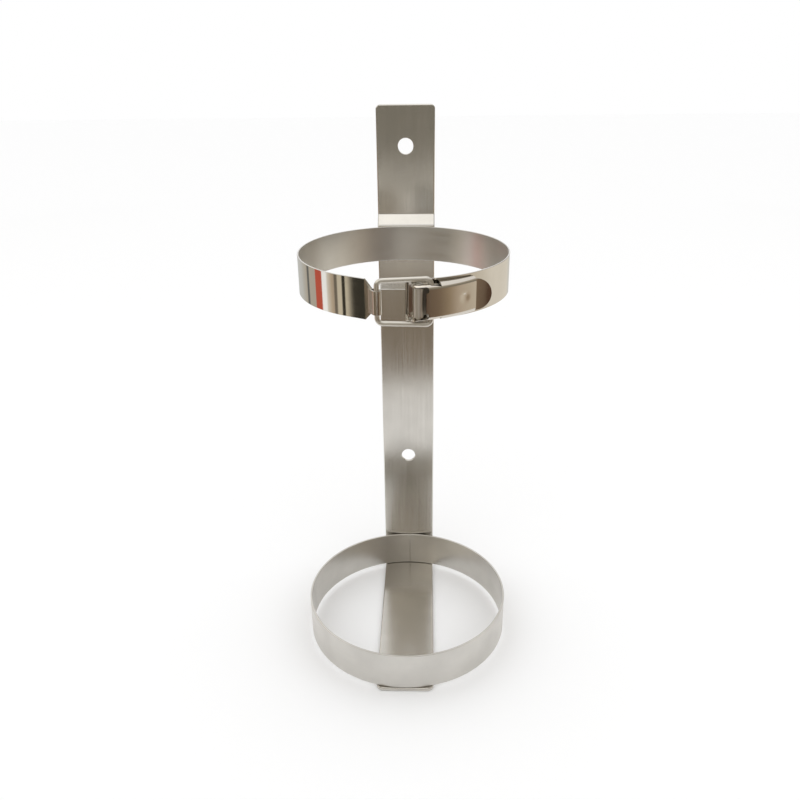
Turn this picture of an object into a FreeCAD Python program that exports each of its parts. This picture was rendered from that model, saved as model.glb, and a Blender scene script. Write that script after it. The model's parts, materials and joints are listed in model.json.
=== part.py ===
import FreeCAD, Part
import math
import os
import re
import Sketcher

# Wall bracket for a fire extinguisher, in millimetres, +Z up and -Y towards the room.
# The origin is on the wall, midway between the two wall holes.

SIZES = {
    # strap: one folded sheet, from its top edge down to the foot
    "strap_width": 40,
    "strap_thickness": 2.5,
    "strap_top": 147,
    "hole_spacing": 240,
    "hole_radius": 5.3,
    "hole_chamfer": 0.5,
    "top_corner_radius": 3,
    "pad_top": 67,
    "pad_bottom": 26,
    "pad_slope": 45,
    "pad_bend_radius": 1.5,
    "foot_height": 224,
    "foot_bend_radius": 1,
    "foot_corner_radius": 5,
    "foot_overhang": 0.5,
    # lower ring, which the extinguisher's base stands in
    "ring_step": 6.5,
    "ring_wall": 1.5,
    "ring_width": 28,
    "seam_width": 0.6,
    "seam_depth": 0.4,
    "seam_shift": 1,
    "seat_gap": 0.3,
    "rim_chamfer": 0.3,
    # upper band, which clamps the cylinder
    "band_inner_radius": 65.5,
    "band_wall": 1,
    "band_width": 24,
    "band_centre": 55,
    "band_end_angle": 4.2,
    "lip_radius": 1.5,
    "lip_turn": 55,
    # left end of the band: straight lead, shoulder, tongue and eye
    "lead_angle": 28,
    "lead_length": 12.5,
    "shoulder_length": 4.5,
    "tongue_width": 14,
    "eye_distance": 21.5,
    "eye_clearance": 0.15,
    "fold_angle": 32,
    "fold_overlap": 0.4,
    # wire loop of the latch
    "wire_radius": 1.5,
    "bail_eye_width": 24.5,
    "bail_hook_width": 26.5,
    "bail_corner_radius": 3.2,
    # hinge of the lever on the right end of the band
    "hinge_angle": 8.33,
    "hinge_ramp": 16,
    "leaf_wall": 1.2,
    "leaf_width": 17,
    "leaf_arc": 14,
    "pin_radius": 1.5,
    "pin_clearance": 0.05,
    "pin_head_radius": 2.4,
    "pin_head_height": 0.4,
    "pin_end_play": 0.1,
    # lever: channel pressing with ears and hooks
    "lever_width": 21,
    "lever_wall": 1.2,
    "lever_rise": 4.2,
    "lever_gap": 0.35,
    "lever_arc": 28,
    "lever_dip": 8,
    "lever_shoulder": 3,
    "face_setback": 3.2,
    "hook_distance": 6.9,
    "hook_clearance": 0.4,
    "hook_travel": 3.6,
    "hook_undercut": 0.5,
    "tab_length": 9.8,
    "tab_width": 18,
    "tab_flare": 22,
    "dimple_sphere": 10,
    "dimple_depth": 0.5,
    "dimple_angle": 21.5,
}

# Places that follow from the sizes above.
BAND_OUTER = "(band_inner_radius + band_wall)"
RING_INNER = "(band_inner_radius + ring_step)"
RING_OUTER = "(%s + ring_wall)" % RING_INNER
AXIS_Y = "(-(strap_thickness + seat_gap) - %s)" % RING_OUTER
PAD_RISE = "(%s - %s)" % (RING_OUTER, BAND_OUTER)
EYE_BORE = "(wire_radius + eye_clearance)"
EYE_RADIUS = "(%s + %s)" % (BAND_OUTER, EYE_BORE)
EYE_X = "(eye_distance * cos(lead_angle) - %s * sin(lead_angle))" % EYE_RADIUS
EYE_Y = "(-eye_distance * sin(lead_angle) - %s * cos(lead_angle))" % EYE_RADIUS
PIN_BORE = "(pin_radius + pin_clearance)"
KNUCKLE = "(%s + leaf_wall)" % PIN_BORE
HINGE_RADIUS = "sqrt(hinge_ramp^2 + (%s + %s)^2)" % (BAND_OUTER, KNUCKLE)
LEAF_ANGLE = "(hinge_angle * 1 deg + atan(hinge_ramp / (%s + %s)))" % (BAND_OUTER, KNUCKLE)
HINGE_X = "(%s * sin(hinge_angle))" % HINGE_RADIUS
HINGE_Y = "(-%s * cos(hinge_angle))" % HINGE_RADIUS
CATCH_X = "(%s + hook_distance * cos(hinge_angle))" % HINGE_X
CATCH_Y = "(%s + hook_distance * sin(hinge_angle))" % HINGE_Y
BAIL_LENGTH = "sqrt((%s - %s)^2 + (%s - %s)^2)" % (CATCH_X, EYE_X, CATCH_Y, EYE_Y)
BAIL_ANGLE = "atan((%s - %s) / (%s - %s))" % (CATCH_Y, EYE_Y, CATCH_X, EYE_X)
SHEET_OFFSET = "(strap_thickness * tan(pad_slope / 2))"
SLOPE_DROP = "(%s / tan(pad_slope))" % PAD_RISE

doc = FreeCAD.newDocument("bracket")
sizes = doc.addObject("Spreadsheet::Sheet", "Sizes")
for row, (alias, number) in enumerate(SIZES.items(), start=1):
    sizes.set("A%d" % row, alias)
    sizes.set("B%d" % row, str(number))
    sizes.setAlias("B%d" % row, alias)
doc.recompute()


def value(expression):
    """Number that an expression over the sheet's aliases has now."""
    return float(sizes.evalExpression(expression))


def on_sheet(expression):
    """The same expression as another object of the document has to write it."""
    return re.sub(r"[a-z]\w+", lambda m: "Sizes." + m.group() if m.group() in SIZES else m.group(),
                  expression)


def bind(feature, field, expression):
    """Bind one property of a feature to an expression over the sheet."""
    feature.setExpression(field, on_sheet(expression))


def new_body(name, at=("0", "0", "0"), turn="0"):
    """Body with its own label, placed at a point and turned about Z."""
    body = doc.addObject("PartDesign::Body", name)
    body.Label = name
    body.Placement.Rotation = FreeCAD.Rotation(FreeCAD.Vector(0, 0, 1), 0)
    for field, expression in zip("xyz", at):
        bind(body, "Placement.Base." + field, expression)
    bind(body, "Placement.Rotation.Angle", turn)
    return body


def new_sketch(body, name, plane, turn=None, shift=None):
    """Sketch on one of the body's own planes, turned about Z or shifted along its normal."""
    sketch = body.newObject("Sketcher::SketchObject", name)
    origin_plane = [f for f in body.Origin.OriginFeatures if f.Role == plane][0]
    sketch.AttachmentSupport = [(origin_plane, "")]
    sketch.MapMode = "FlatFace"
    if turn:
        sketch.AttachmentOffset = FreeCAD.Placement(FreeCAD.Vector(), FreeCAD.Vector(0, 0, 1), 0)
        bind(sketch, "AttachmentOffset.Rotation.Angle", turn)
    if shift:
        bind(sketch, "AttachmentOffset.Base.z", shift)
    return sketch


def pin_point(sketch, geometry, end, x, y):
    """Fix a point of the sketch at two expressions; '0' puts it on the axis, None leaves it free."""
    for kind, axis, expression in (("DistanceX", -2, x), ("DistanceY", -1, y)):
        if expression is None:
            continue
        if expression == "0":
            sketch.addConstraint(Sketcher.Constraint("PointOnObject", geometry, end, axis))
            continue
        number = sketch.addConstraint(
            Sketcher.Constraint(kind, -1, 1, geometry, end, value(expression)))
        sketch.setExpression("Constraints[%d]" % number, on_sheet(expression))


def set_radius(sketch, geometry, expression):
    """Bind the radius of a circle or an arc."""
    number = sketch.addConstraint(Sketcher.Constraint("Radius", geometry, value(expression)))
    sketch.setExpression("Constraints[%d]" % number, on_sheet(expression))


def polygon(sketch, corners):
    """Closed outline of straight edges through corners given as pairs of expressions."""
    spots = [FreeCAD.Vector(value(x), value(y), 0) for x, y in corners]
    lines = []
    for start, end in zip(spots, spots[1:] + spots[:1]):
        lines.append(sketch.addGeometry(Part.LineSegment(start, end)))
    for line, following in zip(lines, lines[1:] + lines[:1]):
        sketch.addConstraint(Sketcher.Constraint("Coincident", line, 2, following, 1))
    for line, (x, y) in zip(lines, corners):
        pin_point(sketch, line, 1, x, y)


def rectangle(sketch, left, right, low, high):
    polygon(sketch, [(left, low), (right, low), (right, high), (left, high)])


def circle(sketch, x, y, radius):
    """Circle with its centre and its radius bound."""
    centre = FreeCAD.Vector(value(x), value(y), 0)
    ring = sketch.addGeometry(Part.Circle(centre, FreeCAD.Vector(0, 0, 1), value(radius)))
    set_radius(sketch, ring, radius)
    pin_point(sketch, ring, 3, x, y)


def arc_sector(sketch, x, y, inner, outer, start, end):
    """Band between two radii about a centre, from one angle to another, counterclockwise."""
    centre = FreeCAD.Vector(value(x), value(y), 0)
    first, last = math.radians(value(start)), math.radians(value(end))
    arcs = []
    for radius in (inner, outer):
        round_edge = Part.Circle(centre, FreeCAD.Vector(0, 0, 1), value(radius))
        arc = sketch.addGeometry(Part.ArcOfCircle(round_edge, first, last))
        set_radius(sketch, arc, radius)
        pin_point(sketch, arc, 3, x, y)
        arcs.append(arc)
    for end_number, angle in ((1, start), (2, end)):
        tips = [sketch.getPoint(arc, end_number) for arc in arcs]
        line = sketch.addGeometry(Part.LineSegment(*tips))
        sketch.addConstraint(Sketcher.Constraint("Coincident", line, 1, arcs[0], end_number))
        sketch.addConstraint(Sketcher.Constraint("Coincident", line, 2, arcs[1], end_number))
        number = sketch.addConstraint(
            Sketcher.Constraint("Angle", line, math.radians(value(angle))))
        sketch.setExpression("Constraints[%d]" % number, "(%s) * 1 deg" % on_sheet(angle))


def pad(body, name, sketch, length, midplane=True):
    """Pad a sketch, to both sides of its plane or along the plane's normal."""
    feature = body.newObject("PartDesign::Pad", name)
    feature.Profile = sketch
    feature.Midplane = midplane
    bind(feature, "Length", length)
    return feature


def pocket(body, name, sketch, length=None, midplane=True, reverse=False):
    """Cut a sketch out of the body, right through where no length is given."""
    feature = body.newObject("PartDesign::Pocket", name)
    feature.Profile = sketch
    feature.Midplane = midplane
    feature.Reversed = reverse
    if length:
        bind(feature, "Length", length)
    else:
        feature.Type = "ThroughAll"
    return feature


def revolve(body, name, kind, sketch, angle, reverse=False, other_angle=None):
    """Turn a sketch about its vertical axis, as a Revolution or a Groove."""
    feature = body.newObject("PartDesign::" + kind, name)
    feature.Profile = sketch
    feature.ReferenceAxis = (sketch, ["V_Axis"])
    feature.Reversed = reverse
    if other_angle:
        feature.Type = "TwoAngles"
        bind(feature, "Angle2", other_angle)
    bind(feature, "Angle", angle)
    return feature


def round_edges(body, name, kind, size, wanted):
    """Fillet or chamfer the edges of the body's tip that a test picks out."""
    doc.recompute()
    base = body.Tip
    names = ["Edge%d" % (i + 1) for i, edge in enumerate(base.Shape.Edges) if wanted(edge)]
    if not names:
        raise RuntimeError("no edge found for " + name)
    feature = body.newObject("PartDesign::" + kind, name)
    feature.Base = (base, names)
    bind(feature, "Radius" if kind == "Fillet" else "Size", size)
    return feature


def near(number, expression, slack=0.01):
    return abs(number - value(expression)) < slack


def spans(edge, axis, length):
    """True for a straight edge along one axis with the given length."""
    box = edge.BoundBox
    sides = dict(x=box.XLength, y=box.YLength, z=box.ZLength)
    along = sides.pop(axis)
    return near(along, length) and max(sides.values()) < 0.01


def back_strap():
    """One sheet: upright with a raised pad for the band, and the foot bent forward."""
    body = new_body("back_strap")
    front = "(-strap_thickness)"
    raised = "(-%s - strap_thickness)" % PAD_RISE
    foot_end = "(%s - %s - foot_overhang)" % (AXIS_Y, RING_OUTER)
    profile = new_sketch(body, "strap_profile", "YZ_Plane")
    polygon(profile, [
        ("0", "strap_top"),
        ("0", "pad_top + %s - %s" % (SLOPE_DROP, SHEET_OFFSET)),
        ("-" + PAD_RISE, "pad_top - " + SHEET_OFFSET),
        ("-" + PAD_RISE, "pad_bottom + " + SHEET_OFFSET),
        ("0", "pad_bottom - %s + %s" % (SLOPE_DROP, SHEET_OFFSET)),
        ("0", "-(foot_height + strap_thickness)"),
        (foot_end, "-(foot_height + strap_thickness)"),
        (foot_end, "-foot_height"),
        (front, "-foot_height"),
        (front, "pad_bottom - " + SLOPE_DROP),
        (raised, "pad_bottom"),
        (raised, "pad_top"),
        (front, "pad_top + " + SLOPE_DROP),
        (front, "strap_top"),
    ])
    pad(body, "strap_sheet", profile, "strap_width")

    def at_bend(edge, inside):
        """Edges of the pad's bends: those of the small radius or those of the large one."""
        if not spans(edge, "x", "strap_width"):
            return False
        y, z = edge.CenterOfMass.y, edge.CenterOfMass.z
        small = ((near(y, front) and near(z, "pad_top + " + SLOPE_DROP))
                 or (near(y, front) and near(z, "pad_bottom - " + SLOPE_DROP))
                 or (near(y, "-" + PAD_RISE) and near(z, "pad_top - " + SHEET_OFFSET))
                 or (near(y, "-" + PAD_RISE) and near(z, "pad_bottom + " + SHEET_OFFSET)))
        large = ((near(y, "0") and near(z, "pad_top + %s - %s" % (SLOPE_DROP, SHEET_OFFSET)))
                 or (near(y, "0") and near(z, "pad_bottom - %s + %s" % (SLOPE_DROP, SHEET_OFFSET)))
                 or (near(y, raised) and near(z, "pad_top"))
                 or (near(y, raised) and near(z, "pad_bottom")))
        return small if inside else large

    def at_foot(edge, y, z):
        centre = edge.CenterOfMass
        return spans(edge, "x", "strap_width") and near(centre.y, y) and near(centre.z, z)

    round_edges(body, "pad_inner_bends", "Fillet", "pad_bend_radius",
                lambda e: at_bend(e, True))
    round_edges(body, "pad_outer_bends", "Fillet", "pad_bend_radius + strap_thickness",
                lambda e: at_bend(e, False))
    round_edges(body, "foot_inner_bend", "Fillet", "foot_bend_radius",
                lambda e: at_foot(e, front, "-foot_height"))
    round_edges(body, "foot_outer_bend", "Fillet", "foot_bend_radius + strap_thickness",
                lambda e: at_foot(e, "0", "-(foot_height + strap_thickness)"))
    round_edges(body, "top_corners", "Fillet", "top_corner_radius",
                lambda e: spans(e, "y", "strap_thickness") and near(e.CenterOfMass.z, "strap_top"))
    round_edges(body, "foot_corners", "Fillet", "foot_corner_radius",
                lambda e: spans(e, "z", "strap_thickness") and near(e.CenterOfMass.y, foot_end))
    holes = new_sketch(body, "wall_hole_sketch", "XZ_Plane")
    circle(holes, "0", "hole_spacing / 2", "hole_radius")
    circle(holes, "0", "-hole_spacing / 2", "hole_radius")
    pocket(body, "wall_holes", holes)
    round_edges(body, "hole_edges", "Chamfer", "hole_chamfer",
                lambda e: e.Curve.TypeId == "Part::GeomCircle"
                and near(e.Curve.Radius, "hole_radius") and near(e.CenterOfMass.y, front))


def base_ring():
    """Rolled strip closed by a butt weld, whose seam is at the back."""
    body = new_body("base_ring", at=("0", AXIS_Y, "-foot_height + seat_gap + ring_width / 2"))
    section = new_sketch(body, "ring_section", "XY_Plane")
    circle(section, "0", "0", RING_INNER)
    circle(section, "0", "0", RING_OUTER)
    pad(body, "ring_strip", section, "ring_width")
    round_edges(body, "ring_rims", "Chamfer", "rim_chamfer",
                lambda e: near(abs(e.CenterOfMass.z), "ring_width / 2"))
    seam = new_sketch(body, "seam_sketch", "XY_Plane")
    rectangle(seam, "seam_shift - seam_width / 2", "seam_shift + seam_width / 2",
              RING_INNER + " - ring_wall", RING_INNER + " + seam_depth")
    pocket(body, "butt_seam", seam)


def clamp_band():
    """Rolled strip, open in front: eye for the wire loop on the left, rolled lip on the right."""
    body = new_body("clamp_band", at=("0", AXIS_Y, "band_centre"), turn="-lead_angle")
    outer_y = "(-%s)" % BAND_OUTER
    eye_y = "(-%s)" % EYE_RADIUS
    section = new_sketch(body, "band_section", "YZ_Plane")
    rectangle(section, outer_y, "-band_inner_radius", "-band_width / 2", "band_width / 2")
    revolve(body, "band_strip", "Revolution", section,
            "360 - lead_angle - band_end_angle", reverse=True)

    lead = new_sketch(body, "lead_outline", "XZ_Plane", shift="band_inner_radius")
    shoulder_end = "lead_length + shoulder_length"
    half, narrow = "band_width / 2", "tongue_width / 2"
    polygon(lead, [
        ("0", "-" + half), ("lead_length", "-" + half), (shoulder_end, "-" + narrow),
        ("eye_distance", "-" + narrow), ("eye_distance", narrow), (shoulder_end, narrow),
        ("lead_length", half), ("0", half),
    ])
    pad(body, "lead_and_tongue", lead, "band_wall", midplane=False)

    roll = new_sketch(body, "eye_sketch", "XY_Plane")
    circle(roll, "eye_distance", eye_y, EYE_BORE + " + band_wall")
    pad(body, "eye", roll, "tongue_width")
    fold_length = "(%s * (1 + cos(fold_angle)) / sin(fold_angle) + fold_overlap)" % EYE_BORE
    inner = ("eye_distance - %s * sin(fold_angle)" % EYE_BORE,
             "%s - %s * cos(fold_angle)" % (eye_y, EYE_BORE))
    outer = ("%s - band_wall * sin(fold_angle)" % inner[0],
             "%s - band_wall * cos(fold_angle)" % inner[1])
    run = ("%s * cos(fold_angle)" % fold_length, "%s * sin(fold_angle)" % fold_length)
    fold = new_sketch(body, "fold_sketch", "XY_Plane")
    polygon(fold, [inner, outer,
                   (outer[0] + " - " + run[0], outer[1] + " + " + run[1]),
                   (inner[0] + " - " + run[0], inner[1] + " + " + run[1])])
    pad(body, "folded_end", fold, "tongue_width")
    wedge = new_sketch(body, "wedge_sketch", "XY_Plane")
    polygon(wedge, [("eye_distance", eye_y), inner,
                    ("eye_distance - %s / tan(fold_angle / 2)" % EYE_BORE, outer_y),
                    ("eye_distance", outer_y)])
    pocket(body, "eye_throat", wedge)
    bore = new_sketch(body, "eye_bore_sketch", "XY_Plane")
    circle(bore, "eye_distance", eye_y, EYE_BORE)
    pocket(body, "eye_bore", bore)

    lip = new_sketch(body, "lip_sketch", "XY_Plane", turn="lead_angle + band_end_angle")
    arc_sector(lip, "0", "%s - lip_radius" % outer_y, "lip_radius", "lip_radius + band_wall",
               "90 - lip_turn", "90")
    pad(body, "rolled_lip", lip, "band_width")


def hinge_leaf():
    """Plate on the band's right end, whose edge is rolled into the hinge knuckle."""
    body = new_body("hinge_leaf", at=("0", AXIS_Y, "band_centre"), turn=LEAF_ANGLE)
    surface = "(-%s)" % BAND_OUTER
    knuckle_y = "(-%s - %s)" % (BAND_OUTER, KNUCKLE)
    seat = new_sketch(body, "leaf_section", "YZ_Plane")
    rectangle(seat, surface + " - leaf_wall", surface, "-leaf_width / 2", "leaf_width / 2")
    revolve(body, "leaf_plate", "Revolution", seat, "leaf_arc")
    ramp = new_sketch(body, "ramp_sketch", "XY_Plane")
    rectangle(ramp, "-hinge_ramp", "0", surface + " - leaf_wall", surface)
    pad(body, "leaf_ramp", ramp, "leaf_width")
    roll = new_sketch(body, "knuckle_sketch", "XY_Plane")
    circle(roll, "-hinge_ramp", knuckle_y, KNUCKLE)
    pad(body, "knuckle", roll, "leaf_width")
    bore = new_sketch(body, "knuckle_bore_sketch", "XY_Plane")
    circle(bore, "-hinge_ramp", knuckle_y, PIN_BORE)
    pocket(body, "knuckle_bore", bore)


def hinge_pin():
    """Rivet through the knuckle and the lever's ears, peened at both ends."""
    body = new_body("hinge_pin", at=(HINGE_X, AXIS_Y + " + " + HINGE_Y, "band_centre"))
    under_head = "(lever_width / 2 + pin_end_play)"
    shank = new_sketch(body, "shank_sketch", "XY_Plane")
    circle(shank, "0", "0", "pin_radius")
    pad(body, "shank", shank, "2 * " + under_head)
    for name, side in (("upper_head", ""), ("lower_head", "-")):
        head = new_sketch(body, name + "_section", "XZ_Plane")
        seat = side + under_head
        top = "%s(%s + pin_head_height)" % (side, under_head)
        polygon(head, [("0", seat), ("pin_head_radius", seat), ("pin_radius", top), ("0", top)])
        revolve(body, name, "Revolution", head, "360")


def wire_bail():
    """Round-wire loop: one bar in the eye, the other in the hooks of the lever."""
    body = new_body("wire_bail", at=(EYE_X, AXIS_Y + " + " + EYE_Y, "band_centre"),
                    turn=BAIL_ANGLE)
    half_eye, half_hook = "bail_eye_width / 2", "bail_hook_width / 2"
    path = new_sketch(body, "bail_path", "XZ_Plane")
    corner = "bail_corner_radius"
    centres = [(corner, "%s - %s" % (half_eye, corner)),
               ("%s - %s" % (BAIL_LENGTH, corner), "%s - %s" % (half_hook, corner))]
    spots = [FreeCAD.Vector(value(x), value(y), 0) for x, y in centres]
    radius = value(corner)
    slope = math.atan2(spots[1].y - spots[0].y, spots[1].x - spots[0].x)
    starts = [(slope + math.pi / 2, math.pi), (0, slope + math.pi / 2)]
    arcs = []
    for spot, (first, last), centre in zip(spots, starts, centres):
        round_edge = Part.Circle(spot, FreeCAD.Vector(0, 0, 1), radius)
        arc = path.addGeometry(Part.ArcOfCircle(round_edge, first, last))
        set_radius(path, arc, corner)
        pin_point(path, arc, 3, *centre)
        arcs.append(arc)
    left_arc, right_arc = arcs
    eye_bar = path.addGeometry(Part.LineSegment(FreeCAD.Vector(), path.getPoint(left_arc, 2)))
    arm = path.addGeometry(Part.LineSegment(path.getPoint(left_arc, 1),
                                            path.getPoint(right_arc, 2)))
    hook_bar = path.addGeometry(Part.LineSegment(path.getPoint(right_arc, 1),
                                                 FreeCAD.Vector(value(BAIL_LENGTH), 0, 0)))
    for joint in ((eye_bar, 2, left_arc, 2), (arm, 1, left_arc, 1), (arm, 2, right_arc, 2),
                  (hook_bar, 1, right_arc, 1)):
        path.addConstraint(Sketcher.Constraint("Tangent", *joint))
    path.addConstraint(Sketcher.Constraint("Coincident", eye_bar, 1, -1, 1))
    path.addConstraint(Sketcher.Constraint("PointOnObject", hook_bar, 2, -1))
    wire = new_sketch(body, "wire_section", "XY_Plane")
    circle(wire, "0", "0", "wire_radius")
    loop = body.newObject("PartDesign::AdditivePipe", "upper_half")
    loop.Profile = wire
    loop.Spine = (path, [])
    doc.recompute()
    mirror = body.newObject("PartDesign::Mirrored", "whole_loop")
    mirror.Originals = [loop]
    mirror.MirrorPlane = (wire, ["H_Axis"])
    plane = [f for f in body.Origin.OriginFeatures if f.Role == "XY_Plane"][0]
    mirror.MirrorPlane = (plane, [""])
    body.Tip = mirror


def toggle_lever():
    """Channel curved more than the band, so that it closes down on it: ears, hooks, finger tab."""
    turn = "(hinge_angle + lever_dip)"
    body = new_body("toggle_lever", at=(
        "%s - %s * sin%s" % (HINGE_X, HINGE_RADIUS, turn),
        "%s + %s + %s * cos%s" % (AXIS_Y, HINGE_Y, HINGE_RADIUS, turn), "band_centre"), turn=turn)
    pin_y = "(-%s)" % HINGE_RADIUS
    face = "(%s + lever_rise)" % HINGE_RADIUS
    under_face = "(%s - lever_wall)" % face
    root = "(%s - 2 * lever_rise)" % HINGE_RADIUS
    half, inside = "lever_width / 2", "(lever_width / 2 - lever_wall)"
    ear_angle = "2 * asin(lever_rise / %s)" % HINGE_RADIUS

    block = new_sketch(body, "lever_section", "YZ_Plane")
    rectangle(block, "-" + face, "-" + root, "-" + half, half)
    revolve(body, "lever_block", "Revolution", block, "lever_arc", other_angle=ear_angle)
    round_edges(body, "lever_shoulders", "Fillet", "lever_shoulder",
                lambda e: e.Curve.TypeId == "Part::GeomCircle" and near(e.Curve.Radius, face))
    hollow = new_sketch(body, "hollow_section", "YZ_Plane")
    rectangle(hollow, "-" + under_face, "-(%s - lever_wall)" % root, "-" + inside, inside)
    revolve(body, "channel", "Groove", hollow, "lever_arc + lever_wall",
            other_angle=ear_angle + " + lever_wall * 1 deg")
    round_edges(body, "channel_corners", "Fillet", "lever_shoulder - lever_wall",
                lambda e: e.Curve.TypeId == "Part::GeomCircle"
                and near(e.Curve.Radius, under_face))
    lower_edges = new_sketch(body, "band_clearance_sketch", "XY_Plane")
    circle(lower_edges, "%s * sin(lever_dip)" % HINGE_RADIUS,
           "-%s * (1 - cos(lever_dip))" % HINGE_RADIUS, BAND_OUTER + " + lever_gap")
    pocket(body, "band_clearance", lower_edges)

    gap = new_sketch(body, "knuckle_gap_sketch", "XY_Plane")
    rectangle(gap, "-2 * lever_rise", "face_setback", "%s - 2 * lever_rise" % pin_y,
              "%s + 2 * lever_rise" % pin_y)
    pocket(body, "knuckle_gap", gap, "2 * " + inside)

    ear = new_sketch(body, "ear_sketch", "XY_Plane")
    far, reach = "-3 * lever_rise", "3 * lever_rise"
    spots = [(0, 1), (0, 3), (-3, 3), (-3, -3), (0, -3), (0, -1)]
    rise, hub = value("lever_rise"), value(pin_y)
    points = [FreeCAD.Vector(x * rise, hub - y * rise, 0) for x, y in spots]
    lines = [ear.addGeometry(Part.LineSegment(a, b)) for a, b in zip(points, points[1:])]
    for line, following in zip(lines, lines[1:]):
        ear.addConstraint(Sketcher.Constraint("Coincident", line, 2, following, 1))
    hub_circle = Part.Circle(FreeCAD.Vector(0, hub, 0), FreeCAD.Vector(0, 0, 1), rise)
    nose = ear.addGeometry(Part.ArcOfCircle(hub_circle, math.pi / 2, 3 * math.pi / 2))
    ear.addConstraint(Sketcher.Constraint("Coincident", nose, 1, lines[-1], 2))
    ear.addConstraint(Sketcher.Constraint("Coincident", nose, 2, lines[0], 1))
    set_radius(ear, nose, "lever_rise")
    pin_point(ear, nose, 3, "0", pin_y)
    pin_point(ear, lines[0], 1, "0", None)
    pin_point(ear, lines[-1], 2, "0", None)
    pin_point(ear, lines[1], 1, "0", "%s - %s" % (pin_y, reach))
    pin_point(ear, lines[2], 1, far, "%s - %s" % (pin_y, reach))
    pin_point(ear, lines[3], 1, far, "%s + %s" % (pin_y, reach))
    pin_point(ear, lines[4], 1, "0", "%s + %s" % (pin_y, reach))
    pocket(body, "ear_outline", ear)

    bore = new_sketch(body, "ear_bore_sketch", "XY_Plane")
    circle(bore, "0", pin_y, PIN_BORE)
    pocket(body, "ear_bores", bore)

    notch = "(wire_radius + hook_clearance)"
    seat_x = "(hook_distance * cos(lever_dip))"
    seat_y = "(%s - hook_distance * sin(lever_dip))" % pin_y
    deep = "%s + 2 * lever_rise" % pin_y
    seat = new_sketch(body, "hook_seat_sketch", "XY_Plane")
    circle(seat, seat_x, seat_y, notch)
    pocket(body, "hook_seat", seat)
    throat = new_sketch(body, "hook_throat_sketch", "XY_Plane")
    rectangle(throat, seat_x, "%s + hook_travel + %s" % (seat_x, notch),
              "%s - %s" % (seat_y, notch), deep)
    pocket(body, "hook_throat", throat)
    mouth = new_sketch(body, "hook_mouth_sketch", "XY_Plane")
    rectangle(mouth, "%s - %s + hook_undercut" % (seat_x, notch), seat_x,
              "%s + %s / 2" % (seat_y, notch), deep)
    pocket(body, "hook_mouth", mouth)

    tab = new_sketch(body, "tab_sketch", "XY_Plane", turn="lever_arc")
    along = ("tab_length * cos(tab_flare)", "tab_length * sin(tab_flare)")
    across = ("lever_wall * sin(tab_flare)", "lever_wall * cos(tab_flare)")
    polygon(tab, [("0", "-" + under_face),
                  (along[0], "-%s - %s" % (under_face, along[1])),
                  ("%s - %s" % (along[0], across[0]),
                   "-%s - %s - %s" % (under_face, along[1], across[1])),
                  ("-lever_wall * tan(tab_flare / 2)", "-" + face)])
    pad(body, "finger_tab", tab, "tab_width")
    tip_reach = "tab_length - lever_wall"
    round_edges(body, "tab_round", "Fillet", "tab_width / 2 - rim_chamfer",
                lambda e: near(e.Length, "lever_wall") and near(abs(e.CenterOfMass.z), "tab_width / 2")
                and e.CenterOfMass.x > value("%s * sin(lever_arc) + (%s) * cos(lever_arc)"
                                             % (under_face, tip_reach)) - value("lever_wall"))

    dimple = body.newObject("PartDesign::SubtractiveSphere", "thumb_dimple")
    bind(dimple, "Radius", "dimple_sphere")
    reach = "(%s + dimple_sphere - dimple_depth)" % face
    bind(dimple, "Placement.Base.x", "%s * sin(dimple_angle)" % reach)
    bind(dimple, "Placement.Base.y", "-%s * cos(dimple_angle)" % reach)


def check_document():
    """Stop if any object failed, or if a body has no valid solid."""
    doc.recompute()
    for item in doc.Objects:
        if "Invalid" in item.State or "Error" in item.State:
            raise RuntimeError("%s failed: %s" % (item.Name, item.State))
    for body in doc.findObjects("PartDesign::Body"):
        if body.Shape.isNull() or not body.Shape.isValid() or len(body.Shape.Solids) != 1:
            raise RuntimeError("%s has no valid single solid" % body.Label)


back_strap()
base_ring()
clamp_band()
hinge_leaf()
hinge_pin()
wire_bail()
toggle_lever()
check_document()

os.makedirs("parts", exist_ok=True)
for body in doc.findObjects("PartDesign::Body"):
    body.Shape.exportStep("parts/%s.step" % body.Label)
    box = body.Shape.BoundBox
    print("%-12s %9.1f mm3  x %.1f..%.1f  y %.1f..%.1f  z %.1f..%.1f" % (
        body.Label, body.Shape.Volume, box.XMin, box.XMax, box.YMin, box.YMax, box.ZMin, box.ZMax))
for label, place in (("eye", (EYE_X, EYE_Y)), ("hinge", (HINGE_X, HINGE_Y)),
                     ("catch", (CATCH_X, CATCH_Y))):
    print("%-6s axis at x %.3f y %.3f" % (label, value(place[0]), value(AXIS_Y) + value(place[1])))
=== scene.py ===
import json
import math

import bmesh
import bpy
from mathutils import Matrix, Vector

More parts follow.
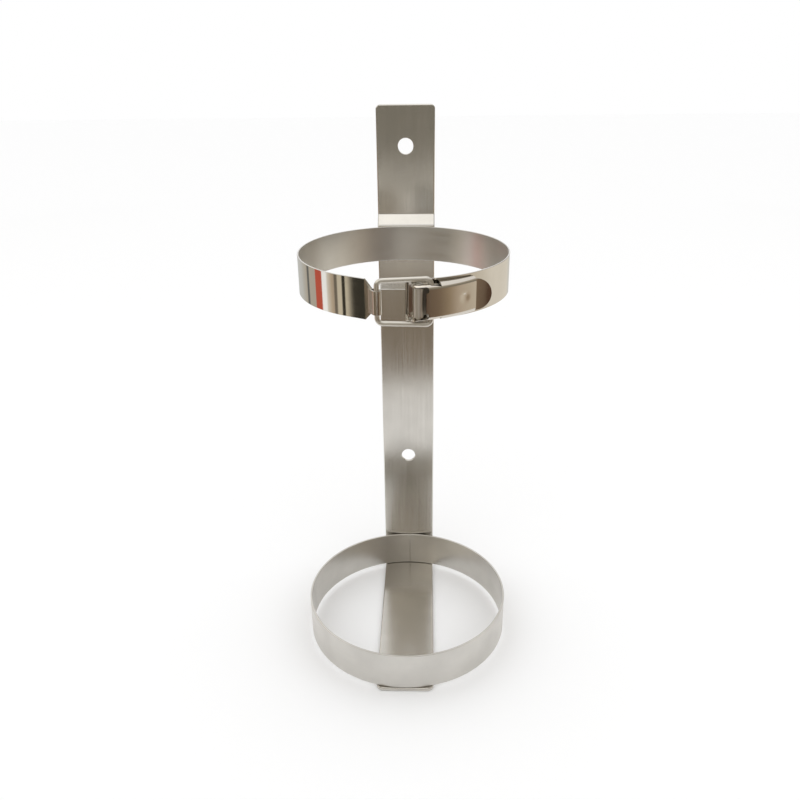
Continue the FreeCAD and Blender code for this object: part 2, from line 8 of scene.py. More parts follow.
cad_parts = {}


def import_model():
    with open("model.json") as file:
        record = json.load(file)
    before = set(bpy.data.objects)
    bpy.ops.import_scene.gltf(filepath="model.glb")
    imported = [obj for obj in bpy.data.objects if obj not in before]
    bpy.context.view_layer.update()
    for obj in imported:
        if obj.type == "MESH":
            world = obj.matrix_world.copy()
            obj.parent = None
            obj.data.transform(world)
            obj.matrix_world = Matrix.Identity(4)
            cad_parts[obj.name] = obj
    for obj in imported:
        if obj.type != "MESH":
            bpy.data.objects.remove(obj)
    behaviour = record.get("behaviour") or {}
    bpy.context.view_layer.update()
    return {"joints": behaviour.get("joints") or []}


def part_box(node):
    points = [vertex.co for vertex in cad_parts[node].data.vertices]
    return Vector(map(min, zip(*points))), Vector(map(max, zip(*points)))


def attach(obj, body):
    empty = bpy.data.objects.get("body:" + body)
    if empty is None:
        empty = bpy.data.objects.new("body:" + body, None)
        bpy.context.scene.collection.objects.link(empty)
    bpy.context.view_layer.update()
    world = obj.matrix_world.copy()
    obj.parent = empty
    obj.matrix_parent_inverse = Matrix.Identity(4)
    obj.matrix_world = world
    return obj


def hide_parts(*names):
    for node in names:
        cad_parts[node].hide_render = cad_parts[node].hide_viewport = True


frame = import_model()

MM = 0.001

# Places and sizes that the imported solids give, in metres.
STRAP_LOW, STRAP_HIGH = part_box("back_strap")
RING_LOW, RING_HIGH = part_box("base_ring")
BAND_LOW, BAND_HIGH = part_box("clamp_band")
EAR_LOW, EAR_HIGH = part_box("toggle_lever")
BAIL_LOW, BAIL_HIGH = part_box("wire_bail")
PIN_LOW, PIN_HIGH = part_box("hinge_pin")
LEAF_LOW, LEAF_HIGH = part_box("hinge_leaf")
JOINTS = {joint["name"]: Vector(joint["pos_m"]) for joint in frame["joints"]}

RING_OUTER = (RING_HIGH.x - RING_LOW.x) / 2
RING_WALL = 1.5 * MM
BAND_OUTER = BAND_HIGH.x
BAND_WALL = 1.0 * MM
BAND_MIDDLE = (BAND_LOW.z + BAND_HIGH.z) / 2
AXIS = Vector((0, RING_HIGH.y - RING_OUTER, BAND_MIDDLE))
HINGE = JOINTS["lever_hinge"]
EYE = JOINTS["bail_hinge"]

# Strap: a folded sheet.
SHEET = 2.5 * MM
PAD_RISE = RING_OUTER - BAND_OUTER
PAD_TOP, PAD_BOTTOM = 67 * MM, 26 * MM
PAD_SLOPE = math.radians(45)
PAD_BEND = 1.5 * MM
FOOT_BEND = 1.0 * MM
FOOT_CORNER = 5 * MM
TOP_CORNER = 3 * MM
HOLE_HEIGHT = 120 * MM
HOLE_RADIUS, HOLE_RIM = 5.3 * MM, 0.4 * MM
STRAP_EDGE = 0.9 * MM

# Band: straight lead and tongue at the left end, lip at the right one.
LEAD_ANGLE = math.radians(28)
LEAD_LENGTH, SHOULDER_LENGTH = 12.5 * MM, 4.5 * MM
EYE_DISTANCE = 21.5 * MM
TONGUE = 14 * MM
END_ANGLE = math.radians(4.2)
LIP_RADIUS, LIP_TURN = 1.5 * MM, math.radians(55)
EYE_BORE = 1.65 * MM
FOLD_ANGLE = math.radians(32)

# Hinge, lever and wire.
HINGE_ANGLE = math.radians(8.33)
HINGE_RADIUS = (HINGE - AXIS).length
LEVER_RISE = 4.2 * MM
LEVER_WALL = 1.2 * MM
LEVER_ARC = math.radians(28)
LEVER_DIP = math.radians(8)
LEVER_SHOULDER = 3 * MM
LEVER_EDGE = BAND_OUTER + 0.35 * MM
FACE_SETBACK = 3.2 * MM
LEVER_HALF = (EAR_HIGH.z - EAR_LOW.z) / 2
HOOK_DISTANCE, HOOK_RADIUS, HOOK_TRAVEL, HOOK_UNDERCUT = 6.9 * MM, 1.9 * MM, 3.6 * MM, 0.5 * MM
TAB_LENGTH, TAB_WIDTH = 9.8 * MM, 18 * MM
TAB_FLARE, TAB_CURL = math.radians(22), math.radians(14)
RELIEF_RADIUS = 1.8 * MM
DIMPLE_RADIUS, DIMPLE_DEPTH, DIMPLE_ANGLE = 4.6 * MM, 0.6 * MM, math.radians(21.5)
PIN_BORE = 1.55 * MM
LEAF_WALL = 1.2 * MM
LEAF_RAMP = 16 * MM
LEAF_ARC = math.radians(14)
WIRE = 1.5 * MM
BAIL_CORNER = 3.2 * MM
BAIL_SPREAD = 1.0 * MM

# Rounding of the edges, and the thin seam in the ring.
BEVEL_LIMIT = math.radians(35)
RING_EDGE, BAND_EDGE, PRESSED_EDGE, RIVET_EDGE = 0.45 * MM, 0.3 * MM, 0.2 * MM, 0.12 * MM
SEAM_PLACE, SEAM_HALF, SEAM_DEPTH = 1.0 * MM, 0.35 * MM, 0.25 * MM

# How finely the round forms are divided.
RING_STEPS, BAND_STEPS, LEVER_STEPS, TAB_STEPS, END_STEPS = 360, 340, 120, 40, 14
HOLE_STEPS, RIVET_STEPS, WIRE_STEPS = 64, 48, 24


def new_object(name, bm, material, body, node):
    """Mesh object from a bmesh, riding on a body and standing for its CAD node."""
    mesh = bpy.data.meshes.new(name)
    bm.to_mesh(mesh)
    bm.free()
    for item in material if isinstance(material, list) else [material]:
        mesh.materials.append(item)
    thing = bpy.data.objects.new(name, mesh)
    bpy.context.scene.collection.objects.link(thing)
    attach(thing, body)
    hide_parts(node)
    return thing


def apply_modifiers(thing):
    """Bake the object's modifiers into its mesh."""
    graph = bpy.context.evaluated_depsgraph_get()
    graph.update()
    mesh = bpy.data.meshes.new_from_object(thing.evaluated_get(graph))
    thing.modifiers.clear()
    thing.data = mesh


def soften(thing, width, segments=3):
    """Round the sharp edges, then shade smoothly with normals that keep flats flat."""
    for polygon in thing.data.polygons:
        polygon.use_smooth = True
    bevel = thing.modifiers.new("edges", "BEVEL")
    bevel.width = width
    bevel.segments = segments
    bevel.limit_method = "ANGLE"
    bevel.angle_limit = BEVEL_LIMIT
    bevel.harden_normals = True
    bevel.use_clamp_overlap = True
    apply_modifiers(thing)


def level_normals(thing):
    """Shade smoothly, each vertex led by its largest faces, so that the flats stay flat."""
    for polygon in thing.data.polygons:
        polygon.use_smooth = True
    weigh = thing.modifiers.new("normals", "WEIGHTED_NORMAL")
    weigh.mode = "FACE_AREA"
    weigh.weight = 100
    apply_modifiers(thing)


def arc_points(centre, radius, start, end, steps):
    """Points of an arc, ends included, from one angle to another."""
    return [centre + radius * Vector((math.cos(a), math.sin(a)))
            for a in (start + (end - start) * i / steps for i in range(steps + 1))]


def fillet_path(corners, radii, step=math.radians(6)):
    """Open path through corners, each inner corner rounded to its radius."""
    path = [corners[0]]
    for before, corner, after, radius in zip(corners, corners[1:], corners[2:], radii):
        come, go = (corner - before).normalized(), (after - corner).normalized()
        turn = come.angle_signed(go)
        if radius <= 0 or abs(turn) < 1e-6:
            path.append(corner)
            continue
        reach = radius * math.tan(abs(turn) / 2)
        start = corner - come * reach
        side = Vector((-come.y, come.x)) * (-1 if turn > 0 else 1)
        centre = start + side * radius
        first = math.atan2(start.y - centre.y, start.x - centre.x)
        steps = max(2, round(abs(turn) / step))
        path += arc_points(centre, radius, first, first - turn, steps)
    return path + [corners[-1]]


def prism(bm, outline, low, high, axis="z"):
    """Solid between two heights over an outline of 2-D points."""
    place = {"z": lambda p, h: (p[0], p[1], h), "x": lambda p, h: (h, p[0], p[1]),
             "y": lambda p, h: (p[0], h, p[1])}[axis]
    ends = [[bm.verts.new(place(p, h)) for p in outline] for h in (low, high)]
    for ring in ends:
        bm.faces.new(ring)
    for i in range(len(outline)):
        j = (i + 1) % len(outline)
        bm.faces.new((ends[0][i], ends[0][j], ends[1][j], ends[1][i]))


def hidden_solid(bm):
    """Solid used once for a boolean."""
    bmesh.ops.recalc_face_normals(bm, faces=bm.faces)
    mesh = bpy.data.meshes.new("cutter")
    bm.to_mesh(mesh)
    bm.free()
    tool = bpy.data.objects.new("cutter", mesh)
    bpy.context.scene.collection.objects.link(tool)
    return tool


def cutter(outline, low, high, axis="z"):
    """Solid over an outline, used once for a boolean."""
    bm = bmesh.new()
    prism(bm, outline, low, high, axis)
    return hidden_solid(bm)


def combine(thing, tool, operation="DIFFERENCE"):
    """Apply one boolean and remove its tool."""
    step = thing.modifiers.new("boolean", "BOOLEAN")
    step.operation = operation
    step.solver = "EXACT"
    step.object = tool
    apply_modifiers(thing)
    bpy.data.objects.remove(tool)


def circle_outline(x, y, radius, steps=48):
    return [(x + radius * math.cos(2 * math.pi * i / steps),
             y + radius * math.sin(2 * math.pi * i / steps)) for i in range(steps)]


def on_band(radius, angle):
    """Point at a radius about the common axis; angle 0 faces the room, + is to the right."""
    return Vector((AXIS.x + radius * math.sin(angle), AXIS.y - radius * math.cos(angle)))


def swept(bm, stations, closed):
    """Tube of quads through stations, each a list of points; ends closed unless it is a ring."""
    rings = [[bm.verts.new(p) for p in station] for station in stations]
    count = len(rings[0])
    pairs = list(zip(rings, rings[1:])) + ([(rings[-1], rings[0])] if closed else [])
    for first, second in pairs:
        for i in range(count):
            j = (i + 1) % count
            bm.faces.new((first[i], first[j], second[j], second[i]))
    if not closed:
        bm.faces.new(rings[0])
        bm.faces.new(reversed(rings[-1]))


def strip_section(low, high, wall, edge, rows):
    """Cross-section of a strip: (offset from its outer face, height) pairs with rounded edges."""
    corner = [(edge, low, 180, 270), (wall - edge, low, 270, 360),
              (wall - edge, high, 0, 90), (edge, high, 90, 180)]
    points = []
    for depth, height, start, end in corner:
        inset = edge if height == low else -edge
        for i in range(5):
            a = math.radians(start + (end - start) * i / 4)
            points.append((depth + edge * math.cos(a), height + inset + edge * math.sin(a)))
        if (depth, height) == (wall - edge, low):
            points += [(wall, low + (high - low) * k / rows) for k in range(1, rows)]
        if (depth, height) == (edge, high):
            points += [(0, high - (high - low) * k / rows) for k in range(1, rows)]
    return points


CLOUD_SCALE, GRAIN_SCALE, SWELL_SCALE = 38, 900, 60
SCRATCH_DEPTH, SWELL_DEPTH = 0.02 * MM, 0.4 * MM
CLOUD_SHADE = 0.10


def steel(name, colour, roughness, along, grain, scratch, wave=0.0, smudge=0.0):
    """Stainless steel; `along` scales the axes, so that the grain runs along the small one."""
    material = bpy.data.materials.new(name)
    material.use_nodes = True
    nodes, links = material.node_tree.nodes, material.node_tree.links
    shader = nodes["Principled BSDF"]
    shader.inputs["Metallic"].default_value = 1.0
    place = nodes.new("ShaderNodeTexCoord").outputs["Object"]

    def noise(scale, stretch=(1, 1, 1), detail=1.0):
        mapping = nodes.new("ShaderNodeMapping")
        mapping.inputs["Scale"].default_value = stretch
        texture = nodes.new("ShaderNodeTexNoise")
        texture.inputs["Scale"].default_value = scale
        texture.inputs["Detail"].default_value = detail
        links.new(place, mapping.inputs["Vector"])
        links.new(mapping.outputs["Vector"], texture.inputs["Vector"])
        return texture.outputs["Fac"]

    def spread(source, low, high):
        ramp = nodes.new("ShaderNodeMapRange")
        ramp.inputs["From Min"].default_value = 0.3
        ramp.inputs["From Max"].default_value = 0.7
        ramp.inputs["To Min"].default_value = low
        ramp.inputs["To Max"].default_value = high
        links.new(source, ramp.inputs["Value"])
        return ramp.outputs["Result"]

    def blend_colour(factor, first, second):
        mix = nodes.new("ShaderNodeMix")
        mix.data_type = "RGBA"
        mix.inputs["A"].default_value = (*first, 1)
        mix.inputs["B"].default_value = (*second, 1)
        links.new(factor, mix.inputs["Factor"])
        return mix.outputs["Result"]

    cloud = noise(CLOUD_SCALE, detail=3.0)
    lines = noise(GRAIN_SCALE, along, detail=6.0)
    darker = tuple(c * (1 - CLOUD_SHADE - smudge) for c in colour)
    links.new(blend_colour(spread(cloud, 0.0, 1.0), colour, darker), shader.inputs["Base Color"])

    streaks = spread(lines, -grain, grain)
    rough = nodes.new("ShaderNodeMath")
    rough.operation = "ADD"
    links.new(streaks, rough.inputs[0])
    links.new(spread(cloud, roughness - smudge * 0.2, roughness + smudge * 0.3), rough.inputs[1])
    links.new(rough.outputs["Value"], shader.inputs["Roughness"])

    height = nodes.new("ShaderNodeBump")
    height.inputs["Strength"].default_value = scratch
    height.inputs["Distance"].default_value = SCRATCH_DEPTH
    links.new(lines, height.inputs["Height"])
    if wave:
        swell = nodes.new("ShaderNodeBump")
        swell.inputs["Strength"].default_value = wave
        swell.inputs["Distance"].default_value = SWELL_DEPTH
        links.new(noise(SWELL_SCALE, detail=1.0), swell.inputs["Height"])
        links.new(swell.outputs["Normal"], height.inputs["Normal"])
    links.new(height.outputs["Normal"], shader.inputs["Normal"])
    return material


UP_GRAIN, LEAF_GRAIN = (1, 1, 0.02), (1, 1, 0.05)
ROUND_GRAIN, LEVER_GRAIN = (0.03, 0.03, 1), (0.05, 0.05, 1)
WIRE_GRAIN = (0.05, 0.05, 0.05)
STRAP_STEEL = steel("strap_steel", (0.66, 0.635, 0.59), 0.19, UP_GRAIN, grain=0.03, scratch=0.10,
                    smudge=0.02)
RING_STEEL = steel("ring_steel", (0.68, 0.66, 0.62), 0.34, ROUND_GRAIN, grain=0.04, scratch=0.15,
                   smudge=0.03)
BAND_BRIGHT = steel("band_bright", (0.74, 0.72, 0.68), 0.05, ROUND_GRAIN, grain=0.01, scratch=0.03)
BAND_SATIN = steel("band_satin", (0.70, 0.69, 0.66), 0.35, ROUND_GRAIN, grain=0.05, scratch=0.05,
                   smudge=0.03)
LEVER_STEEL = steel("lever_steel", (0.68, 0.63, 0.56), 0.12, LEVER_GRAIN, grain=0.02,
                    scratch=0.06, wave=0.15)
EYE_STEEL = steel("eye_steel", (0.54, 0.50, 0.44), 0.20, UP_GRAIN, grain=0.02, scratch=0.02)
LEAF_STEEL = steel("leaf_steel", (0.66, 0.63, 0.58), 0.40, LEAF_GRAIN, grain=0.04, scratch=0.08)
WIRE_STEEL = steel("wire_steel", (0.66, 0.63, 0.57), 0.32, WIRE_GRAIN, grain=0.03, scratch=0.05)


def strap_path():
    """Middle line of the folded sheet, (y, z), with extra points where its two ends are rounded."""
    offset = SHEET / 2 * math.tan(PAD_SLOPE / 2)
    drop = PAD_RISE / math.tan(PAD_SLOPE)
    low, top, middle = STRAP_LOW.z, STRAP_HIGH.z, SHEET / 2
    corners = [Vector(p) for p in (
        (-middle, top), (-middle, PAD_TOP + drop - offset), (-PAD_RISE - middle, PAD_TOP - offset),
        (-PAD_RISE - middle, PAD_BOTTOM + offset), (-middle, PAD_BOTTOM - drop + offset),
        (-middle, low + middle), (STRAP_LOW.y, low + middle))]
    bend = PAD_BEND + middle
    path = fillet_path(corners, (bend,) * 4 + (FOOT_BEND + middle,))
    rounding = [1 - math.cos(math.pi / 2 * i / END_STEPS) for i in range(1, END_STEPS + 1)]
    top_end = [path[0] - Vector((0, TOP_CORNER * share)) for share in rounding]
    foot_end = [path[-1] + Vector((FOOT_CORNER * share, 0)) for share in rounding]
    return [path[0]] + top_end + path[1:-1] + foot_end[::-1] + [path[-1]]


def shrink(reach, radius):
    """How far an outline with a rounded corner has drawn in, at a reach from its end."""
    return radius - math.sqrt(radius ** 2 - (radius - reach) ** 2) if reach < radius else 0.0


def hole_tool(height):
    """Cutter of a wall hole with softly rounded rims on both faces."""
    rim_angles = [math.radians(a) for a in (75, 60, 45, 30, 15, 0)]
    outside, beyond = 0.3 * HOLE_RIM, 2.0 * HOLE_RIM
    front = [(HOLE_RADIUS + beyond, -SHEET - outside)]
    front += [(HOLE_RADIUS + HOLE_RIM * (1 - math.cos(a)), -SHEET + HOLE_RIM * (1 - math.sin(a)))
              for a in rim_angles]
    profile = front + [(radius, -SHEET - y) for radius, y in reversed(front)]
    stations = [[(radius * math.cos(a), y, height + radius * math.sin(a))
                 for a in (2 * math.pi * i / HOLE_STEPS for i in range(HOLE_STEPS))]
                for radius, y in profile]
    bm = bmesh.new()
    swept(bm, stations, closed=False)
    return hidden_solid(bm)


def back_strap():
    """The folded sheet: a section with rounded edges, swept from the top end to the foot."""
    path = strap_path()
    half = STRAP_HIGH.x
    lengths = [0.0]
    for first, second in zip(path, path[1:]):
        lengths.append(lengths[-1] + (second - first).length)
    stations = []
    for i, point in enumerate(path):
        tangent = (path[min(i + 1, len(path) - 1)] - path[max(i - 1, 0)]).normalized()
        normal = Vector((tangent.y, -tangent.x))
        from_top, from_foot = lengths[i], lengths[-1] - lengths[i]
        wide = half - shrink(from_top, TOP_CORNER) - shrink(from_foot, FOOT_CORNER)
        thick = SHEET / 2 - shrink(from_top, STRAP_EDGE) - shrink(from_foot, STRAP_EDGE)
        edge = min(STRAP_EDGE, thick)
        station = []
        for side_x, side_t, start in ((1, 1, 0), (-1, 1, 90), (-1, -1, 180), (1, -1, 270)):
            for k in range(6):
                a = math.radians(start + 90 * k / 5)
                x = side_x * (wide - edge) + edge * math.cos(a)
                through = side_t * (thick - edge) + edge * math.sin(a)
                station.append((x, point.x + normal.x * through, point.y + normal.y * through))
        stations.append(station)
    bm = bmesh.new()
    swept(bm, stations, closed=False)
    bmesh.ops.remove_doubles(bm, verts=bm.verts, dist=MM / 1000)
    bmesh.ops.recalc_face_normals(bm, faces=bm.faces)
    strap = new_object("strap_sheet", bm, STRAP_STEEL, "bracket", "back_strap")
    for height in (HOLE_HEIGHT, -HOLE_HEIGHT):
        combine(strap, hole_tool(height))
    level_normals(strap)


def base_ring():
    """Closed round strip about the common axis, with the groove of its butt seam inside."""
    section = strip_section(RING_LOW.z, RING_HIGH.z, RING_WALL, RING_EDGE, 2)
    stations = []
    for i in range(RING_STEPS):
        angle = 2 * math.pi * i / RING_STEPS
        stations.append([(*on_band(RING_OUTER - depth, angle), height)
                         for depth, height in section])
    bm = bmesh.new()
    swept(bm, stations, closed=True)
    bmesh.ops.recalc_face_normals(bm, faces=bm.faces)
    ring = new_object("ring_strip", bm, RING_STEEL, "bracket", "base_ring")
    inner = AXIS.y + RING_OUTER - RING_WALL
    outline = [(SEAM_PLACE - SEAM_HALF, inner - RING_WALL),
               (SEAM_PLACE + SEAM_HALF, inner - RING_WALL),
               (SEAM_PLACE + SEAM_HALF / 3, inner + SEAM_DEPTH),
               (SEAM_PLACE - SEAM_HALF / 3, inner + SEAM_DEPTH)]
    combine(ring, cutter(outline, RING_LOW.z - MM, RING_HIGH.z + MM))
    level_normals(ring)


def band_line():
    """Outer face of the band as (point, normal) pairs: lead at the left, arc, lip at the right."""
    line = []
    along = Vector((math.cos(-LEAD_ANGLE), math.sin(-LEAD_ANGLE)))
    outward = Vector((math.sin(-LEAD_ANGLE), -math.cos(LEAD_ANGLE)))
    start = on_band(BAND_OUTER, -LEAD_ANGLE)
    for reach in (LEAD_LENGTH + SHOULDER_LENGTH, LEAD_LENGTH, LEAD_LENGTH / 2):
        line.append((start + along * reach, outward))
    sweep = 2 * math.pi - LEAD_ANGLE - END_ANGLE
    for i in range(BAND_STEPS + 1):
        angle = -LEAD_ANGLE - sweep * i / BAND_STEPS
        line.append((on_band(BAND_OUTER, angle), Vector((math.sin(angle), -math.cos(angle)))))
    end, normal = line[-1]
    centre = end + normal * LIP_RADIUS
    tangent = Vector((normal.y, -normal.x))
    for i in range(1, 9):
        angle = LIP_TURN * i / 8
        direction = tangent * math.sin(angle) - normal * math.cos(angle)
        line.append((centre + direction * LIP_RADIUS, -direction))
    return line


def clamp_band():
    """Open polished strip with its tapered end and lip."""
    section = strip_section(BAND_LOW.z, BAND_HIGH.z, BAND_WALL, BAND_EDGE, 2)
    stations = []
    for point, normal in band_line():
        stations.append([(*(point - normal * depth), height) for depth, height in section])
    bm = bmesh.new()
    swept(bm, stations, closed=False)
    bmesh.ops.recalc_face_normals(bm, faces=bm.faces)
    materials = [BAND_BRIGHT, BAND_SATIN, EYE_STEEL]
    band = new_object("band_strip", bm, materials, "bracket", "clamp_band")
    beyond = 3 * MM
    rim = (BAND_HIGH.z - BAND_LOW.z) / 2
    tip = LEAD_LENGTH + SHOULDER_LENGTH
    for side in (-1, 1):
        shoulder = [(LEAD_LENGTH, side * (rim + beyond)), (LEAD_LENGTH, side * rim),
                    (tip, side * TONGUE / 2), (tip + beyond, side * TONGUE / 2),
                    (tip + beyond, side * (rim + beyond))]
        tool = cutter(shoulder, -BAND_OUTER - beyond, -BAND_OUTER + beyond, "y")
        tool.data.transform(Matrix.Translation(AXIS) @ Matrix.Rotation(-LEAD_ANGLE, 4, "Z"))
        combine(band, tool)
    inner_limit = BAND_OUTER - BAND_WALL / 2
    along = Vector((math.cos(LEAD_ANGLE), -math.sin(LEAD_ANGLE), 0))
    for polygon in band.data.polygons:
        away = polygon.center - AXIS
        away.z = 0
        inside = away.length < inner_limit and polygon.normal.dot(away) < 0
        on_shoulder = away.dot(along) > LEAD_LENGTH and away.length > BAND_OUTER + BAND_WALL / 2
        polygon.material_index = 1 if inside else 2 if on_shoulder else 0
    level_normals(band)


def band_eye():
    """Tongue of the band, rolled round the wire and folded back on itself."""
    outer_y = -BAND_OUTER
    eye = Vector((EYE_DISTANCE, outer_y - EYE_BORE))
    overlap = 1 * MM
    line = [Vector((LEAD_LENGTH + SHOULDER_LENGTH - overlap, outer_y)),
            Vector((EYE_DISTANCE, outer_y))]
    line += arc_points(eye, EYE_BORE, math.pi / 2, -math.pi / 2 - FOLD_ANGLE, 24)[1:]
    fold = EYE_BORE * (1 + math.cos(FOLD_ANGLE)) / math.sin(FOLD_ANGLE)
    line.append(line[-1] + fold * Vector((-math.cos(FOLD_ANGLE), math.sin(FOLD_ANGLE))))
    outer = []
    for i, point in enumerate(line):
        before, after = line[max(i - 1, 0)], line[min(i + 1, len(line) - 1)]
        tangent = (after - before).normalized()
        outer.append(point + Vector((-tangent.y, tangent.x)) * BAND_WALL)
    outline = [tuple(p) for p in line] + [tuple(p) for p in reversed(outer)]
    bm = bmesh.new()
    prism(bm, outline, -TONGUE / 2, TONGUE / 2)
    bmesh.ops.recalc_face_normals(bm, faces=bm.faces)
    bm.transform(Matrix.Translation(AXIS) @ Matrix.Rotation(-LEAD_ANGLE, 4, "Z"))
    eye_piece = new_object("band_eye", bm, EYE_STEEL, "bracket", "clamp_band")
    soften(eye_piece, PRESSED_EDGE)


def hinge_leaf():
    """Plate on the band's end with the rolled knuckle."""
    leaf_angle = HINGE_ANGLE + math.atan(LEAF_RAMP / (BAND_OUTER + PIN_BORE + LEAF_WALL))
    hub = Vector((-LEAF_RAMP, -BAND_OUTER - PIN_BORE - LEAF_WALL))
    knuckle = PIN_BORE + LEAF_WALL
    inner = [Vector((-LEAF_RAMP, -BAND_OUTER))]
    outer = [Vector((-LEAF_RAMP, -BAND_OUTER - LEAF_WALL))]
    for i in range(13):
        angle = LEAF_ARC * i / 12
        inner.append(Vector((math.sin(angle), -math.cos(angle))) * BAND_OUTER)
        outer.append(Vector((math.sin(angle), -math.cos(angle))) * (BAND_OUTER + LEAF_WALL))
    roll = arc_points(hub, knuckle, math.pi / 2,
                      2 * math.pi + math.asin(PIN_BORE / knuckle), 40)
    outline = [tuple(p) for p in inner[::-1] + roll[1:] + outer[1:]]
    bm = bmesh.new()
    half = (LEAF_HIGH.z - LEAF_LOW.z) / 2
    prism(bm, outline, -half, half)
    bmesh.ops.recalc_face_normals(bm, faces=bm.faces)
    leaf = new_object("hinge_plate", bm, LEAF_STEEL, "bracket", "hinge_leaf")
    combine(leaf, cutter(circle_outline(hub.x, hub.y, PIN_BORE), -half - MM, half + MM))
    leaf.data.transform(Matrix.Translation(AXIS) @ Matrix.Rotation(leaf_angle, 4, "Z"))
    soften(leaf, PRESSED_EDGE)


def hinge_pin():
    """Rivet with rounded, peened ends."""
    low, high = PIN_LOW.z, PIN_HIGH.z
    head, shank, dome = (PIN_HIGH.x - PIN_LOW.x) / 2, WIRE, 0.4 * MM
    profile = [(shank, low), (head, low + dome), (shank, low + dome),
               (shank, high - dome), (head, high - dome), (shank, high)]
    bm = bmesh.new()
    rings = []
    for i in range(RIVET_STEPS):
        angle = 2 * math.pi * i / RIVET_STEPS
        across, through = math.cos(angle), math.sin(angle)
        rings.append([bm.verts.new((HINGE.x + r * across, HINGE.y + r * through, z))
                      for r, z in profile])
    for first, second in zip(rings, rings[1:] + rings[:1]):
        for i in range(len(first) - 1):
            bm.faces.new((first[i], first[i + 1], second[i + 1], second[i]))
    bm.faces.new([ring[0] for ring in rings])
    bm.faces.new([ring[-1] for ring in rings][::-1])
    bmesh.ops.recalc_face_normals(bm, faces=bm.faces)
    pin = new_object("hinge_rivet", bm, WIRE_STEEL, "bracket", "hinge_pin")
    soften(pin, RIVET_EDGE)


def wire_bail():
    """Closed loop of round wire through the eye and the hooks."""
    catch = Vector((HINGE.x + HOOK_DISTANCE * math.cos(HINGE_ANGLE),
                    HINGE.y + HOOK_DISTANCE * math.sin(HINGE_ANGLE)))
    span = Vector((catch.x - EYE.x, catch.y - EYE.y))
    turn = math.atan2(span.y, span.x)
    half_hook = (BAIL_HIGH.z - BAIL_LOW.z) / 2 - WIRE
    half_eye = half_hook - BAIL_SPREAD
    middle = Vector((span.length / 2, (half_hook + half_eye) / 2))
    corners = [middle, Vector((span.length, half_hook)), Vector((span.length, -half_hook)),
               Vector((0, -half_eye)), Vector((0, half_eye)), middle]
    path = fillet_path(corners, (BAIL_CORNER,) * 4, math.radians(7))[:-1]
    bm = bmesh.new()
    stations = []
    count = len(path)
    for i, point in enumerate(path):
        tangent = (path[(i + 1) % count] - path[i - 1]).normalized()
        side = Vector((-tangent.y, tangent.x))
        stations.append([(point.x + side.x * WIRE * math.cos(a), WIRE * math.sin(a),
                          point.y + side.y * WIRE * math.cos(a))
                         for a in (2 * math.pi * k / WIRE_STEPS for k in range(WIRE_STEPS))])
    swept(bm, stations, closed=True)
    bmesh.ops.recalc_face_normals(bm, faces=bm.faces)
    for face in bm.faces:
        face.smooth = True
    bm.transform(Matrix.Translation(EYE) @ Matrix.Rotation(turn, 4, "Z"))
    new_object("bail_wire", bm, WIRE_STEEL, "bail", "wire_bail")


def dished(radius, angle, height, face_radius):
    """Radius of a point of the lever's face, pressed in where the dimple is."""
    away = math.hypot((angle - DIMPLE_ANGLE) * face_radius, height) / DIMPLE_RADIUS
    return radius - DIMPLE_DEPTH * (1 + math.cos(math.pi * away)) / 2 if away < 1 else radius


def finger_tab(inner_face):
    """Rounded plate at the lever's end, curling away from the band."""
    tab_half = TAB_WIDTH / 2
    straight = TAB_LENGTH - tab_half
    point, reach = Vector((0, -inner_face)), 0.0
    narrowest = 0.3 * MM
    stations = []
    for i in range(TAB_STEPS + 1):
        ahead = TAB_LENGTH * math.sin(math.pi / 2 * i / TAB_STEPS)
        flare = TAB_FLARE + TAB_CURL * ahead / TAB_LENGTH
        point = point + (ahead - reach) * Vector((math.cos(flare), -math.sin(flare)))
        reach = ahead
        outer = point - LEVER_WALL * Vector((math.sin(flare), math.cos(flare)))
        over = max(ahead - straight, 0)
        wide = math.sqrt(max(tab_half ** 2 - over ** 2, narrowest ** 2))
        heights = [wide * k / 6 for k in range(-6, 7)]
        stations.append([(point.x, point.y, z) for z in heights]
                        + [(outer.x, outer.y, z) for z in reversed(heights)])
    bm = bmesh.new()
    swept(bm, stations, closed=False)
    return hidden_solid(bm)


